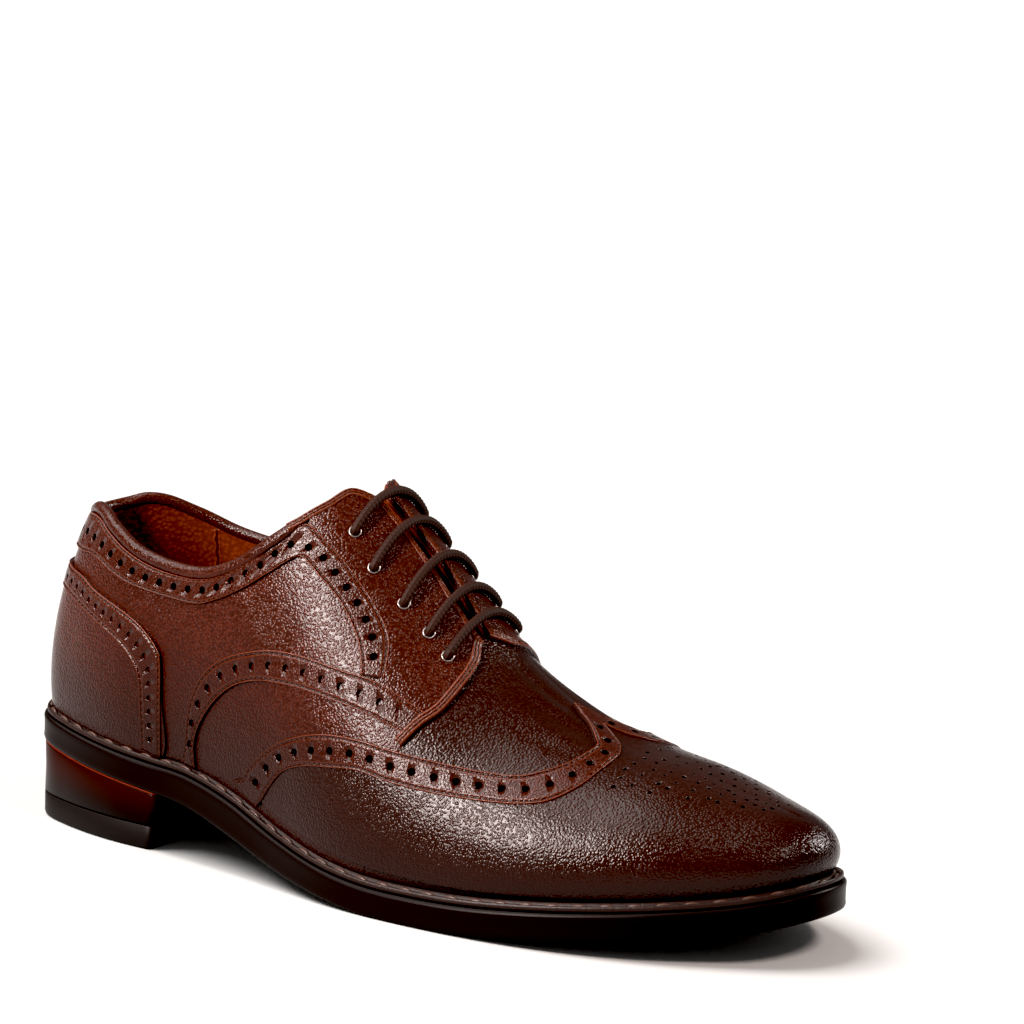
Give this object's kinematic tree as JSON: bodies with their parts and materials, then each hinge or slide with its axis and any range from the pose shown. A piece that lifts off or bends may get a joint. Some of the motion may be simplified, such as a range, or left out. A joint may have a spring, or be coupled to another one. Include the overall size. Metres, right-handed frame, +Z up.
{
  "type": "brogue_shoe",
  "caption": "Full-brogue derby shoe for a right foot in burnished brown leather, with a pointed wing cap, punched seams, a stitched welt, round laces and a stacked heel.",
  "frame": {"origin": "on the floor, under the middle of the shoe's bounding box", "axes": "+X from heel to toe, +Y to the inner side of the right foot, +Z up"},
  "size_m": [0.3, 0.0992, 0.1266],
  "materials": {
    "upper_leather": "grained red-brown calf, burnished darker low down",
    "cap_leather": "grained red-brown calf, near black at the toe",
    "counter_leather": "grained red-brown calf",
    "collar_leather": "smooth brown calf",
    "facing_leather": "smooth brown calf",
    "tongue_leather": "soft brown leather",
    "insole_leather": "smooth tan sock leather",
    "welt_leather": "dark brown, corded by its stitches",
    "sole_leather": "black-brown inked and polished edge",
    "heel_leather": "polished stacked leather, dark red",
    "heel_rubber": "black rubber",
    "eyelet_metal": "dull nickel",
    "lace_cord": "dark brown waxed round braid"
  },
  "bodies": {
    "root": {"outsole": "sole_leather", "heel_stack": "heel_leather", "heel_top_piece": "heel_rubber", "welt": "welt_leather", "insole": "insole_leather", "upper": "upper_leather", "wing_cap": "cap_leather", "heel_counter": "counter_leather", "collar_band": "collar_leather", "facing_outer": "facing_leather", "facing_inner": "facing_leather", "tongue": "tongue_leather", "lace": "lace_cord", "eyelet_outer_1": "eyelet_metal", "eyelet_outer_2": "eyelet_metal", "eyelet_outer_3": "eyelet_metal", "eyelet_outer_4": "eyelet_metal", "eyelet_outer_5": "eyelet_metal", "eyelet_inner_1": "eyelet_metal", "eyelet_inner_2": "eyelet_metal", "eyelet_inner_3": "eyelet_metal", "eyelet_inner_4": "eyelet_metal", "eyelet_inner_5": "eyelet_metal"}
  },
  "joints": []
}
